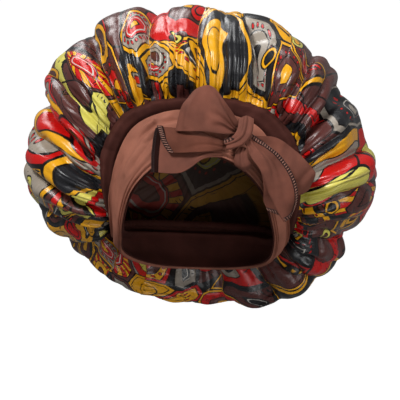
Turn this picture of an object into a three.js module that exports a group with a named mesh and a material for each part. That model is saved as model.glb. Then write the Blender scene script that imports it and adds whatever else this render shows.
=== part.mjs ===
// A large puffed sleep bonnet of printed satin, gathered onto a wide stretch band, with a long
// stretch tie wrapped round the front of the band and knotted in a bow over the wearer's left temple.
//
// Millimetres, +Z up. The wearer faces -Y, so +X is on the right when the bonnet is seen from the front.
// The origin is the middle of the head opening, between the two ears.
// Every cloth piece is a wall: a grid of points, given thickness along its own normals.

import * as THREE from "three";

// Cloth thicknesses and the gap that two touching pieces keep.
const SATIN_WALL = 1.5;
const BAND_WALL = 2.0;
const TIE_WALL = 1.8;
const GAP = 0.45;

// Grid sizes.
const BAG_COLUMNS = 96;
const BAG_FRONT_ROWS = 9;
const BAG_BACK_ROWS = 6;

// The three edges of the band and tie, a row every 22.5 degrees round the head.
// angle: 0 is over the forehead, 90 is by the ear on +X, 180 is the nape.
// hem: the edge on the face. top: where the tie ends. seam: where the satin is gathered on.
const HEAD_RING = [
  { angle: 0, hem: [0, -92, 44], top: [0, -68, 80], seam: [2, -56, 98] },
  { angle: 22.5, hem: [25, -89, 38], top: [30, -66, 78], seam: [42, -54, 95] },
  { angle: 45, hem: [45, -80, 26], top: [58, -60, 67], seam: [76, -50, 81] },
  { angle: 67.5, hem: [61, -64, 8], top: [74, -50, 41], seam: [97, -44, 52] },
  { angle: 90, hem: [70, -44, -15], top: [82, -38, 8], seam: [101, -33, 16] },
  { angle: 112.5, hem: [76, -14, -42], top: [87, -14, -26], seam: [98, -14, -20] },
  { angle: 135, hem: [70, 20, -62], top: [82, 26, -46], seam: [92, 26, -36] },
  { angle: 157.5, hem: [44, 62, -70], top: [54, 73, -44], seam: [62, 78, -30] },
  { angle: 180, hem: [0, 80, -71], top: [0, 94, -42], seam: [0, 102, -26] },
  { angle: 202.5, hem: [-44, 61, -67], top: [-55, 72, -40], seam: [-62, 78, -24] },
  { angle: 225, hem: [-72, 18, -54], top: [-80, 25, -36], seam: [-88, 25, -24] },
  { angle: 247.5, hem: [-74, -18, -37], top: [-83, -15, -25], seam: [-92, -16, -17] },
  { angle: 270, hem: [-70, -44, -15], top: [-81, -38, 8], seam: [-95, -34, 15] },
  { angle: 292.5, hem: [-61, -64, 8], top: [-74, -50, 41], seam: [-91, -44, 50] },
  { angle: 315, hem: [-45, -80, 26], top: [-58, -60, 67], seam: [-71, -50, 82] },
  { angle: 337.5, hem: [-25, -89, 38], top: [-31, -66, 78], seam: [-40, -54, 95] },
];

// The puffed bag's outline from the front: each fold's valley and the crest after it, clockwise
// from straight up. radius is from the bag's middle line, and crease is how deep the fold cuts into
// the front face.
const BAG_MIDDLE = { x: 3, z: 46, back: 182 };
const FOLDS = [
  { valley: 10, radius: 145, crease: 7, crest: 24, crestRadius: 154 },
  { valley: 38, radius: 150, crease: 3, crest: 44, crestRadius: 152.5 },
  { valley: 49, radius: 151, crease: 3, crest: 56, crestRadius: 160 },
  { valley: 67, radius: 156, crease: 9, crest: 79, crestRadius: 168 },
  { valley: 84, radius: 171, crease: 4, crest: 91, crestRadius: 178 },
  { valley: 94, radius: 177, crease: 7, crest: 101, crestRadius: 184 },
  { valley: 118, radius: 169, crease: 8, crest: 129, crestRadius: 177.5 },
  { valley: 137, radius: 175, crease: 4, crest: 142, crestRadius: 176.5 },
  { valley: 151, radius: 171, crease: 5, crest: 156, crestRadius: 170 },
  { valley: 167, radius: 160, crease: 5, crest: 174, crestRadius: 160 },
  { valley: 183, radius: 156, crease: 5, crest: 190, crestRadius: 158 },
  { valley: 198, radius: 157, crease: 5, crest: 204, crestRadius: 159.5 },
  { valley: 211, radius: 157, crease: 5, crest: 218, crestRadius: 159.5 },
  { valley: 227, radius: 154.5, crease: 6, crest: 235, crestRadius: 161 },
  { valley: 239, radius: 161, crease: 6, crest: 246, crestRadius: 172 },
  { valley: 251, radius: 171.5, crease: 6, crest: 262, crestRadius: 180 },
  { valley: 272, radius: 173, crease: 4, crest: 277, crestRadius: 173 },
  { valley: 289, radius: 165, crease: 9, crest: 301, crestRadius: 178 },
  { valley: 318, radius: 165, crease: 6, crest: 328, crestRadius: 169.5 },
  { valley: 347, radius: 148.5, crease: 8, crest: 355, crestRadius: 151 },
];

// Hollows pushed into the front of the bag. share runs from the seam (0) to the outline (1); the
// two spans are half-widths, in degrees round the bag and in shares along it.
const DENTS = [
  { angle: 25, share: 0.5, depth: 13, angleSpan: 8, shareSpan: 0.34 },
  { angle: 58, share: 0.8, depth: 8, angleSpan: 6, shareSpan: 0.3 },
  { angle: 92, share: 0.55, depth: 9, angleSpan: 5, shareSpan: 0.4 },
  { angle: 284, share: 0.5, depth: 9, angleSpan: 5, shareSpan: 0.4 },
  { angle: 296, share: 0.85, depth: 10, angleSpan: 6, shareSpan: 0.22 },
  { angle: 315, share: 0.6, depth: 6, angleSpan: 5, shareSpan: 0.4 },
  { angle: 251, share: 0.5, depth: 8, angleSpan: 5, shareSpan: 0.4 },
  { angle: 120, share: 0.5, depth: 8, angleSpan: 6, shareSpan: 0.4 },
];

// The bag's depth at each side: how far back its widest line lies, and how far the satin swells
// forward and backward of it.
const BAG_DEPTHS = [
  { angle: 0, widest: 24, swellFront: 26, swellBack: 78 },
  { angle: 90, widest: 34, swellFront: 26, swellBack: 74 },
  { angle: 135, widest: 66, swellFront: 12, swellBack: 58 },
  { angle: 180, widest: 112, swellFront: -12, swellBack: 40 },
  { angle: 225, widest: 66, swellFront: 12, swellBack: 58 },
  { angle: 270, widest: 34, swellFront: 26, swellBack: 74 },
];

// The bow's pieces are strips of the tie. Each row of a table is a place along the strip, and its
// columns are points across it. A loop's rows run out along its front, round the fold and back.
const LEFT_LOOP = [
  { low: [35.5, -93, 62.5], middle: [38, -93, 67], high: [40.5, -91, 71] },
  { low: [23.4, -99, 62], middle: [24.5, -106, 78], high: [27, -97, 92] },
  { low: [7.5, -101, 64], middle: [9, -111, 82], high: [16, -95, 103] },
  { low: [-10, -101, 64], middle: [-6, -109, 86], high: [5.6, -93, 107] },
  { low: [-19.6, -96, 65], middle: [-14.5, -98, 86], high: [-3, -88, 101] },
  { low: [-12, -91, 69], middle: [-8, -86, 84], high: [3, -78, 101] },
  { low: [16, -91, 69], middle: [18, -85, 78], high: [22, -80, 88] },
  { low: [36, -89.5, 64], middle: [38.5, -89, 67], high: [40.5, -88, 70] },
];
const RIGHT_LOOP = [
  { low: [47, -90, 54], middle: [48.5, -90.1, 57], high: [50, -90, 60.5] },
  { low: [60, -80, 35], middle: [69, -81, 46], high: [75, -78, 59] },
  { low: [83, -72, 11], middle: [88, -77, 29], high: [95, -73, 46] },
  { low: [97, -66, 5], middle: [102, -73, 21], high: [106, -70, 35] },
  { low: [107.5, -61, 11], middle: [113, -64, 24], high: [109.5, -65, 31.5] },
  { low: [98, -57, 13], middle: [101, -58, 24], high: [100, -60, 35] },
  { low: [74, -66, 36], middle: [77, -65, 46], high: [79, -66, 54] },
  { low: [46, -85, 55], middle: [47.5, -84, 57.5], high: [49, -84, 60] },
];

// The cut end that lies to the left over the forehead, folded over at its top. low, back and top
// are the layer behind, flap and edge the part turned down in front of it.
const LEFT_END = [
  {
    low: [-42, -88.9, 26],
    back: [-41.5, -85.4, 47],
    top: [-37.5, -82.4, 68.5],
    flap: [-32, -94.4, 54.5],
    edge: [-25, -97.4, 44],
  },
  {
    low: [-15, -97.4, 25.5],
    back: [-13, -94.9, 47],
    top: [-12, -91.4, 66],
    flap: [-12, -100.4, 56],
    edge: [-12, -102.4, 44],
  },
  {
    low: [6.5, -99.4, 38.5],
    back: [7.5, -95.9, 49],
    top: [9, -93.4, 61],
    flap: [9, -101.4, 54],
    edge: [8.5, -103.4, 45],
  },
  {
    low: [23, -93.4, 40],
    back: [23.5, -92.4, 47],
    top: [24, -90.9, 55],
    flap: [24.5, -96.4, 51],
    edge: [24, -97.4, 46],
  },
];

// The cut end that hangs at the right. right and left are the front layer's two edges, and under is
// the layer turned behind it, which shows below on the left.
const RIGHT_END = [
  { right: [50.5, -95, 62], middle: [48, -96.5, 57.5], left: [45.5, -97, 53], under: [48, -92, 55] },
  { right: [67, -88, 50], middle: [60.5, -95, 44.5], left: [51, -100, 40], under: [61, -87, 42] },
  { right: [82, -85, 37], middle: [71, -92, 32], left: [61, -93, 28.5], under: [70, -83.5, 30] },
  { right: [92.5, -81, 18], middle: [79.5, -87, 15], left: [65, -86, 15], under: [67, -77, 10] },
  { right: [95, -74, 2], middle: [84.5, -80, -2], left: [72, -79, -2], under: [63.5, -70, 0] },
  { right: [91.5, -68, -10.5], middle: [87, -72, -17], left: [82.5, -72, -20], under: [71, -66, -11] },
];

// The knot's strap, once round, and the loop of cloth tucked under it.
const KNOT_STRAP = [
  { left: [39.5, -91, 76], middle: [46.5, -91, 79], right: [53.5, -90, 76] },
  { left: [38, -99, 66], middle: [44, -102, 64], right: [51, -98, 61] },
  { left: [33, -102, 59], middle: [38, -105, 56], right: [42, -102, 51] },
  { left: [25.5, -99, 56], middle: [26, -101, 51.5], right: [28.5, -99, 47] },
  { left: [32, -87, 62], middle: [34, -85, 56], right: [38, -84, 51] },
  { left: [38, -83, 72], middle: [44, -80, 68], right: [51, -79, 64] },
];
const KNOT_TUCK = [
  { left: [40, -92, 49], middle: [43, -95, 49], right: [46, -96, 48] },
  { left: [36, -95, 43], middle: [42, -98.5, 41.5], right: [47.5, -97.5, 40] },
  { left: [35, -93, 35], middle: [43.5, -97.5, 30.5], right: [51, -93.5, 34] },
  { left: [38, -88.5, 32], middle: [45, -88, 28], right: [51, -87, 32] },
  { left: [37, -88, 43], middle: [42, -87.5, 43], right: [47, -87, 43] },
];

const GATHER_DEPTH = 1.3;
const radians = THREE.MathUtils.degToRad;
const lerp = THREE.MathUtils.lerp;
const smooth = (x) => THREE.MathUtils.smoothstep(x, 0, 1);
const vector = (p) => new THREE.Vector3(...p);

// A closed curve through one edge of the head ring, called with an angle in degrees.
function ringEdge(edge) {
  const curve = new THREE.CatmullRomCurve3(
    HEAD_RING.map((row) => vector(row[edge])),
    true,
    "catmullrom",
    0.5,
  );
  return (angle) => curve.getPoint((((angle % 360) + 360) % 360) / 360);
}
const hemAt = ringEdge("hem");
const topAt = ringEdge("top");
const seamAt = ringEdge("seam");

// A smooth value between the rows of a table that goes once round the head.
function aroundTable(table, column, angle) {
  const next = table.findIndex((row) => row.angle > angle);
  const b = next < 0 ? { ...table[0], angle: 360 } : table[next];
  const a = table[(next < 0 ? table.length : next) - 1];
  return lerp(a[column], b[column], smooth((angle - a.angle) / (b.angle - a.angle)));
}

// Where an angle lies between a valley (0) and a crest (1), and that fold's radius and crease.
function foldAt(angle) {
  const count = FOLDS.length;
  for (let i = 0; i < count; i++) {
    const fold = FOLDS[i];
    const after = FOLDS[(i + 1) % count];
    const nextValley = i + 1 < count ? after.valley : after.valley + 360;
    const a = angle < FOLDS[0].valley ? angle + 360 : angle;
    if (a < fold.valley || a >= nextValley) continue;
    const rising = a < fold.crest;
    const low = rising ? fold : after;
    const span = rising ? fold.crest - fold.valley : nextValley - fold.crest;
    const share = (rising ? a - fold.valley : nextValley - a) / span;
    const lift = Math.pow(Math.sin((share * Math.PI) / 2), 0.8);
    return {
      radius: lerp(low.radius, fold.crestRadius, lift),
      crease: low.crease * Math.pow(1 - share, 2),
    };
  }
  throw new Error("no fold at " + angle);
}

// The outline's point at an angle, on the bag's widest line.
function rimAt(angle) {
  const { radius } = foldAt(angle);
  return new THREE.Vector3(
    BAG_MIDDLE.x + radius * Math.sin(radians(angle)),
    aroundTable(BAG_DEPTHS, "widest", angle),
    BAG_MIDDLE.z + radius * Math.cos(radians(angle)),
  );
}

// How deep the dents are at a place on the front of the bag.
function dentAt(angle, share) {
  let depth = 0;
  for (const dent of DENTS) {
    const turn = (((angle - dent.angle + 540) % 360) - 180) / dent.angleSpan;
    const out = (share - dent.share) / dent.shareSpan;
    depth += dent.depth * Math.exp(-(turn * turn + out * out));
  }
  return depth;
}

// One line of the bag from the seam, over the widest line, to the middle of the back.
function bagLine(angle, column) {
  const seam = seamAt(angle);
  const rim = rimAt(angle);
  const { crease } = foldAt(angle);
  const swellFront = aroundTable(BAG_DEPTHS, "swellFront", angle);
  const swellBack = aroundTable(BAG_DEPTHS, "swellBack", angle);
  const back = new THREE.Vector3(BAG_MIDDLE.x, BAG_MIDDLE.back, BAG_MIDDLE.z);
  const outward = rim.clone().sub(seam).setY(0);
  const front = new THREE.CubicBezierCurve3(
    seam,
    seam.clone().addScaledVector(outward, 0.5).add(new THREE.Vector3(0, -swellFront, 0)),
    rim.clone().add(new THREE.Vector3(0, -1.9 * Math.abs(swellFront), 0)),
    rim,
  );
  const behind = new THREE.CubicBezierCurve3(
    rim,
    rim.clone().add(new THREE.Vector3(0, swellBack, 0)),
    back.clone().addScaledVector(rim.clone().sub(back).setY(0), 0.62),
    back,
  );
  const side = outward.normalize();
  const points = [];
  for (let j = 0; j <= BAG_FRONT_ROWS; j++) {
    const t = j / BAG_FRONT_ROWS;
    const point = front.getPoint(t);
    const cut = crease * Math.sin(Math.PI * Math.min(1, t * 0.8 + 0.15));
    const ruffle = (column % 2 ? -1 : 1) * GATHER_DEPTH * Math.sin(Math.PI * Math.min(1, t * 2.2));
    point.y += (cut + ruffle) * (1 - t) + dentAt(angle, t) * smooth(t * 4) * smooth((1 - t) * 3);
    point.addScaledVector(side, -cut * 0.5 * t);
    points.push(point);
  }
  for (let j = 1; j <= BAG_BACK_ROWS; j++) {
    const t = j / BAG_BACK_ROWS;
    const point = behind.getPoint(t);
    point.addScaledVector(side, -crease * 0.5 * (1 - smooth(t * 1.5)));
    points.push(point);
  }
  return points;
}

// The normal at each point of a grid, from its neighbours round and along it.
function gridNormals(grid, closed) {
  const count = grid.length;
  return grid.map((line, i) => {
    const before = grid[closed ? (i - 1 + count) % count : Math.max(0, i - 1)];
    const after = grid[closed ? (i + 1) % count : Math.min(count - 1, i + 1)];
    return line.map((_, j) => {
      const k = Math.min(j, line.length - 1);
      const round = after[k].clone().sub(before[k]);
      const along = line[Math.min(line.length - 1, k + 1)].clone().sub(line[Math.max(0, k - 1)]);
      return round.cross(along).normalize();
    });
  });
}

// Collects corners and triangles, and gives back a geometry.
class Surface {
  constructor() {
    this.positions = [];
    this.triangles = [];
  }

  corner(p) {
    this.positions.push(p.x, p.y, p.z);
    return this.positions.length / 3 - 1;
  }

  triangle(a, b, c) {
    this.triangles.push(a, b, c);
  }

  quad(a, b, c, d) {
    this.triangle(a, b, c);
    this.triangle(a, c, d);
  }

  geometry() {
    const made = new THREE.BufferGeometry();
    made.setAttribute("position", new THREE.Float32BufferAttribute(this.positions, 3));
    made.setIndex(this.triangles);
    made.computeVertexNormals();
    return made;
  }
}

// A cloth wall from a grid of lines, `outer` and `inner` millimetres either side of the grid.
// The grid is closed round the head, or open with an end wall at each side.
function clothWall(grid, { closed, outer, inner, normals = gridNormals(grid, closed) }) {
  const surface = new Surface();
  const lay = (distance) =>
    grid.map((line, i) =>
      line.map((p, j) => surface.corner(p.clone().addScaledVector(normals[i][j], distance))),
    );
  const out = lay(outer);
  const under = lay(-inner);
  const last = grid[0].length - 1;
  const spans = closed ? grid.length : grid.length - 1;
  for (let i = 0; i < spans; i++) {
    const n = (i + 1) % grid.length;
    for (let j = 0; j < last; j++) {
      surface.quad(out[i][j], out[n][j], out[n][j + 1], out[i][j + 1]);
      surface.quad(under[i][j], under[i][j + 1], under[n][j + 1], under[n][j]);
    }
    surface.quad(out[i][0], under[i][0], under[n][0], out[n][0]);
    surface.quad(out[i][last], out[n][last], under[n][last], under[i][last]);
  }
  if (!closed) {
    const end = grid.length - 1;
    for (let j = 0; j < last; j++) {
      surface.quad(out[0][j], out[0][j + 1], under[0][j + 1], under[0][j]);
      surface.quad(out[end][j], under[end][j], under[end][j + 1], out[end][j + 1]);
    }
  }
  return surface.geometry();
}

// The bag's lines and their normals.
const BAG_LINES = Array.from({ length: BAG_COLUMNS }, (_, i) =>
  bagLine((i * 360) / BAG_COLUMNS, i),
);
const BAG_NORMALS = gridNormals(BAG_LINES, true);
const BAG_ROWS = BAG_LINES[0].length;

// The bag is in five pieces: four round its front, and its back from a row behind the widest line.
const SPLIT_ROW = BAG_FRONT_ROWS + 1;
const BAG_QUARTERS = [
  { name: "satin_bag_right", first: BAG_COLUMNS / 8 },
  { name: "satin_bag_nape", first: (BAG_COLUMNS * 3) / 8 },
  { name: "satin_bag_left", first: (BAG_COLUMNS * 5) / 8 },
  { name: "satin_bag_top", first: (BAG_COLUMNS * 7) / 8 },
];

// One ring of the bag, with fewer corners near the middle of the back.
function bagRing(surface, row, distance, setBack) {
  const left = BAG_ROWS - 1 - row;
  const skip = left <= 1 ? 4 : left <= 3 ? 2 : 1;
  const ring = [];
  for (let i = 0; i < BAG_COLUMNS; i += skip) {
    const point = BAG_LINES[i][row].clone().addScaledVector(BAG_NORMALS[i][row], distance);
    point.y += setBack;
    ring.push(surface.corner(point));
  }
  return ring;
}

// A quarter of the bag's front, from one column to another, with half a gap left at each side.
function bagQuarter(first) {
  const lines = [];
  const normals = [];
  for (let i = 0; i <= BAG_COLUMNS / 4; i++) {
    const column = (first + i) % BAG_COLUMNS;
    lines.push(BAG_LINES[column].slice(0, SPLIT_ROW + 1).map((point) => point.clone()));
    normals.push(BAG_NORMALS[column].slice(0, SPLIT_ROW + 1));
  }
  const drawIn = (side, next) => {
    side.forEach((p, j) => p.addScaledVector(next[j].clone().sub(p).normalize(), 0.8 * GAP));
  };
  drawIn(lines[0], lines[1]);
  drawIn(lines.at(-1), lines.at(-2));
  return clothWall(lines, { closed: false, outer: 0, inner: SATIN_WALL, normals });
}

// The bag's back, from a gap behind the front to its middle.
function bagBack() {
  const surface = new Surface();
  const [outside, inside] = [
    { distance: 0, facing: 1 },
    { distance: -SATIN_WALL, facing: -1 },
  ].map(({ distance, facing }) => {
    const face = (a, b, c) => (facing > 0 ? surface.triangle(a, b, c) : surface.triangle(a, c, b));
    const rings = [];
    for (let j = SPLIT_ROW; j < BAG_ROWS - 1; j++) {
      rings.push(bagRing(surface, j, distance, j === SPLIT_ROW ? 1.5 * GAP : 0));
    }
    for (let j = 0; j < rings.length - 1; j++) {
      const a = rings[j];
      const b = rings[j + 1];
      const step = a.length / b.length;
      for (let k = 0; k < b.length; k++) {
        const b0 = b[k];
        const b1 = b[(k + 1) % b.length];
        const edge = [];
        for (let s = 0; s <= step; s++) edge.push(a[(k * step + s) % a.length]);
        for (let s = 0; s < step; s++) face(edge[s], edge[s + 1], s < step / 2 ? b0 : b1);
        face(edge[Math.ceil(step / 2)], b1, b0);
      }
    }
    const middle = BAG_LINES[0][BAG_ROWS - 1].clone();
    middle.y += distance;
    const pole = surface.corner(middle);
    const lastRing = rings.at(-1);
    lastRing.forEach((v, k) => face(v, lastRing[(k + 1) % lastRing.length], pole));
    return rings[0];
  });
  outside.forEach((v, k) => {
    const n = (k + 1) % outside.length;
    surface.quad(v, inside[k], inside[n], outside[n]);
  });
  return surface.geometry();
}

// The band's line at an angle: hem, over the head's curve, the tie's edge, and out to the seam.
const HEAD_BULGE = 3.5;
function bandLine(angle, stations) {
  const hem = hemAt(angle);
  const top = topAt(angle);
  const seam = seamAt(angle);
  const middle = hem.clone().add(top).multiplyScalar(0.5);
  const bulge = middle.clone().setY(middle.y * 0.9).normalize();
  middle.addScaledVector(bulge, HEAD_BULGE);
  const curve = new THREE.CatmullRomCurve3([hem, middle, top, seam], false, "catmullrom", 0.5);
  return stations.map((s) => curve.getPoint(s));
}

function bandGrid(columns, stations) {
  const grid = [];
  for (let i = 0; i < columns; i++) grid.push(bandLine((i * 360) / columns, stations));
  return grid;
}

// A strip's grid from its table: `steps` places along it and `across` spans over its width.
// A strip that goes once round is closed.
function stripGrid(table, { steps, across, closed = false }) {
  const sections = table.map((row) => new THREE.CatmullRomCurve3(Object.values(row).map(vector)));
  const lengthwise = [];
  for (let k = 0; k <= across; k++) {
    const places = sections.map((section) => section.getPoint(k / across));
    lengthwise.push(new THREE.CatmullRomCurve3(places, closed));
  }
  const grid = [];
  for (let i = 0; i < steps + (closed ? 0 : 1); i++) {
    grid.push(lengthwise.map((curve) => curve.getPoint(i / steps)));
  }
  return grid;
}

function tieStrip(table, { closed = false, ...sizes }) {
  return clothWall(stripGrid(table, { closed, ...sizes }), {
    closed,
    outer: TIE_WALL / 2,
    inner: TIE_WALL / 2,
  });
}

const PRINTED_SATIN = { color: 0xb98a1e, roughness: 0.35, metalness: 0 };
const BAND_JERSEY = { color: 0x4a2c26, roughness: 0.9, metalness: 0 };
const TIE_JERSEY = { color: 0x8a5a4a, roughness: 0.9, metalness: 0 };

const bonnet = new THREE.Group();
function piece(name, geometry, look) {
  const mesh = new THREE.Mesh(geometry, new THREE.MeshStandardMaterial(look));
  mesh.name = name;
  bonnet.add(mesh);
}

for (const { name, first } of BAG_QUARTERS) piece(name, bagQuarter(first), PRINTED_SATIN);
piece("satin_bag_back", bagBack(), PRINTED_SATIN);

// Places along the band's line. The tie covers the first few, from the hem to its own edge.
const TIE_STATIONS = [0, 0.2, 0.45, 0.66];
const BAND_STATIONS = [...TIE_STATIONS, 0.84, 0.985];
piece(
  "edge_band",
  clothWall(bandGrid(BAG_COLUMNS, BAND_STATIONS), { closed: true, outer: 0, inner: BAND_WALL }),
  BAND_JERSEY,
);
piece(
  "head_tie",
  clothWall(bandGrid(BAG_COLUMNS, TIE_STATIONS), {
    closed: true,
    outer: GAP + TIE_WALL,
    inner: -GAP,
  }),
  TIE_JERSEY,
);
piece("bow_loop_left", tieStrip(LEFT_LOOP, { steps: 14, across: 6 }), TIE_JERSEY);
piece("bow_loop_right", tieStrip(RIGHT_LOOP, { steps: 14, across: 6 }), TIE_JERSEY);
piece("tie_end_left", tieStrip(LEFT_END, { steps: 8, across: 10 }), TIE_JERSEY);
piece("tie_end_right", tieStrip(RIGHT_END, { steps: 12, across: 8 }), TIE_JERSEY);
piece("bow_knot", tieStrip(KNOT_STRAP, { steps: 16, across: 4, closed: true }), TIE_JERSEY);
piece("knot_tuck", tieStrip(KNOT_TUCK, { steps: 14, across: 4, closed: true }), TIE_JERSEY);

export default bonnet;
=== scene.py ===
import math
import random

import bpy
import numpy as np
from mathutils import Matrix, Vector


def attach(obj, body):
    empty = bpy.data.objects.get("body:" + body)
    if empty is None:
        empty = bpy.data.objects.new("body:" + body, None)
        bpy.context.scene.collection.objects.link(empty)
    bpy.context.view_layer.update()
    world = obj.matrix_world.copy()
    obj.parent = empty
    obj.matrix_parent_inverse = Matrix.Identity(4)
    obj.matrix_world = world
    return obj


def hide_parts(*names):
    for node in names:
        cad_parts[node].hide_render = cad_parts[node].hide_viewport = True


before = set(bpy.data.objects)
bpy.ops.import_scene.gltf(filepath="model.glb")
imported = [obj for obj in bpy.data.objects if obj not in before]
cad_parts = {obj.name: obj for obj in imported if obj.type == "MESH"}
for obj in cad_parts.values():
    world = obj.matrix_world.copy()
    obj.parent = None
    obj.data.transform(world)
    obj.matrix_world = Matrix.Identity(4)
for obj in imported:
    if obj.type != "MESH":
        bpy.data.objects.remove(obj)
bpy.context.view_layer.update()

# A large puffed sleep bonnet of printed satin, gathered onto a wide stretch band, with a stretch
# tie wrapped round the front and knotted in a bow. Tables are in millimetres in the row frame: the
# wearer faces -Y, +X is right as seen from the front, and Z is up.
MM = 0.001


def table(names, *rows):
    """Rows of values, each under its column's name. A row may leave its last values out."""
    return [dict(zip(names.split(), row)) for row in rows]


# The band and tie's three edges, a row every 22.5 degrees round the head from the forehead.
HEAD_RING = table(
    "hem top seam",
    ((0, -92, 44), (0, -68, 80), (2, -56, 98)),
    ((25, -89, 38), (30, -66, 78), (42, -54, 95)),
    ((45, -80, 26), (58, -60, 67), (76, -50, 81)),
    ((61, -64, 8), (74, -50, 41), (97, -44, 52)),
    ((70, -44, -15), (82, -38, 8), (101, -33, 16)),
    ((76, -14, -42), (87, -14, -26), (98, -14, -20)),
    ((70, 20, -62), (82, 26, -46), (92, 26, -36)),
    ((44, 62, -70), (54, 73, -44), (62, 78, -30)),
    ((0, 80, -71), (0, 94, -42), (0, 102, -26)),
    ((-44, 61, -67), (-55, 72, -40), (-62, 78, -24)),
    ((-72, 18, -54), (-79, 25, -37), (-85, 25, -25)),
    ((-74, -18, -37), (-80, -15, -26), (-86, -16, -19)),
    ((-70, -44, -15), (-81, -38, 8), (-93, -34, 15)),
    ((-61, -64, 8), (-74, -50, 41), (-91, -44, 50)),
    ((-45, -80, 26), (-58, -60, 67), (-71, -50, 82)),
    ((-25, -89, 38), (-31, -66, 78), (-40, -54, 95)),
)
HEAD_BULGE = 3.5

# The bag's outline from the front, clockwise in degrees from straight up: each fold's valley, and
# the crest after it, with their distances from the bag's middle line.
BAG_MIDDLE_X, BAG_MIDDLE_Z, BAG_BACK_Y = 3, 46, 182
FOLDS = table(
    "valley radius crest crest_radius",
    (10, 145, 24, 154),
    (38, 150, 44, 152.5),
    (49, 151, 56, 160),
    (67, 156, 79, 168),
    (84, 171, 91, 178),
    (94, 177, 101, 184),
    (118, 169, 129, 177.5),
    (137, 175, 142, 176.5),
    (151, 171, 156, 170),
    (167, 160, 174, 160),
    (183, 156, 190, 158),
    (198, 157, 204, 159.5),
    (211, 157, 218, 159.5),
    (227, 154.5, 235, 161),
    (239, 161, 246, 172),
    (251, 171.5, 262, 180),
    (272, 173, 277, 173),
    (289, 165, 301, 178),
    (318, 165, 328, 169.5),
    (347, 148.5, 355, 151),
)

# How far back the bag's widest line lies at each side, and how far the satin swells from it.
BAG_DEPTHS = table(
    "angle widest swell_front swell_back",
    (0, 24, 26, 78),
    (90, 34, 26, 74),
    (135, 66, 12, 58),
    (180, 112, -12, 40),
    (225, 66, 12, 58),
    (270, 34, 26, 74),
)

# The deep creases that run outward over the bag's front. start and end are the angles where a
# crease leaves the seam (0) and where it fades at its reach (1 is the outline).
CREASES = table(
    "start end reach depth width",
    (33, 16, 1.0, 13, 4.2),
    (50, 49, 1.2, 4, 2.0),
    (69, 63, 1.15, 13, 2.8),
    (87, 88, 1.05, 10, 2.4),
    (104, 97, 1.1, 6, 2.2),
    (128, 119, 1.15, 10, 3.0),
    (146, 137, 1.1, 5, 2.4),
    (162, 151, 1.1, 6, 3.0),
    (221, 239, 1.1, 8, 2.6),
    (235, 252, 1.1, 9, 2.6),
    (253, 269, 1.1, 9, 2.4),
    (270, 281, 0.95, 9, 2.6),
    (281, 290, 1.2, 11, 2.8),
    (300, 297, 0.9, 6, 2.6),
    (316, 318, 1.25, 10, 2.6),
    (336, 346, 1.25, 10, 3.0),
    (358, 2, 1.0, 5, 3.2),
)

# Small trims of the outline: where, how wide (degrees) and how far out (millimetres).
OUTLINE_TRIMS = table(
    "angle width out",
    (27, 9, -3.0),
    (49, 4, 4.0),
    (62, 5, 4.0),
    (75, 6, 2.0),
    (90, 4, -5.0),
    (113, 5, 5.0),
    (122, 6, 2.5),
    (137, 12, 3.0),
    (151, 6, 3.0),
    (205, 8, 2.0),
    (235, 5, 3.5),
    (251, 8, 3.0),
    (309, 4, -2.5),
    (319, 3.5, 7.0),
    (331, 6, -2.5),
    (350, 5, 3.0),
)

# Cloth thicknesses as they show.
SATIN_WALL = 0.5
JERSEY_WALL = 1.1


# Curves and tables


def catmull_rom(points, at, closed):
    """Points on a smooth curve through points, at places that count from 0 in points."""
    points = np.asarray(points, float)
    count = len(points)
    at = np.asarray(at, float)
    if closed:
        i = np.floor(at).astype(int)
        a, b, c, d = (points[(i + k) % count] for k in (-1, 0, 1, 2))
    else:
        i = np.clip(np.floor(at).astype(int), 0, count - 2)
        before = 2 * points[0] - points[1]
        after = 2 * points[-1] - points[-2]
        padded = np.concatenate([[before], points, [after]])
        a, b, c, d = (padded[i + k] for k in range(4))
    t = (at - i)[..., None]
    return 0.5 * (
        2 * b + (c - a) * t + (2 * a - 5 * b + 4 * c - d) * t**2 + (3 * b - a - 3 * c + d) * t**3
    )


def smooth(x):
    """Eases from 0 to 1 as x goes from 0 to 1."""
    x = np.clip(x, 0, 1)
    return x * x * (3 - 2 * x)


def bell(x):
    """1 at 0, falling away on both sides over about 1."""
    return np.exp(-(x**2))


def unit(vectors):
    """The vectors with their lengths set to 1."""
    return vectors / np.maximum(np.linalg.norm(vectors, axis=-1, keepdims=True), 1e-9)


def running_sum(steps):
    return np.concatenate([[0], np.cumsum(steps)])


def turned(angles):
    """The same angles between -180 and 180 degrees."""
    return (angles + 180) % 360 - 180


def nape_share(angles):
    """1 round the nape, fading to 0 at the sides of the head."""
    half_width, fade = 55, 30
    return 1 - smooth((np.abs(angles % 360 - 180) - half_width) / fade)


def bezier(p0, p1, p2, p3, t):
    """Cubic curves side by side, each at the places t from 0 to 1."""
    t = t[None, :, None]
    p0, p1, p2, p3 = (p[:, None, :] for p in (p0, p1, p2, p3))
    s = 1 - t
    return s**3 * p0 + 3 * s**2 * t * p1 + 3 * s * t**2 * p2 + t**3 * p3


def ring_edge(edge, angles):
    """Points on one edge of the band and tie, at angles round the head."""
    row_step = 360 / len(HEAD_RING)
    return catmull_rom([row[edge] for row in HEAD_RING], angles / row_step, closed=True)


def around(rows, column, angles):
    """A table's value round the head, eased between its rows."""
    at = [row["angle"] for row in rows] + [360]
    values = [row[column] for row in rows] + [rows[0][column]]
    i = np.clip(np.searchsorted(at, angles, side="right") - 1, 0, len(rows) - 1)
    at, values = np.array(at, float), np.array(values, float)
    share = smooth((angles - at[i]) / (at[i + 1] - at[i]))
    return values[i] + (values[i + 1] - values[i]) * share


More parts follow.
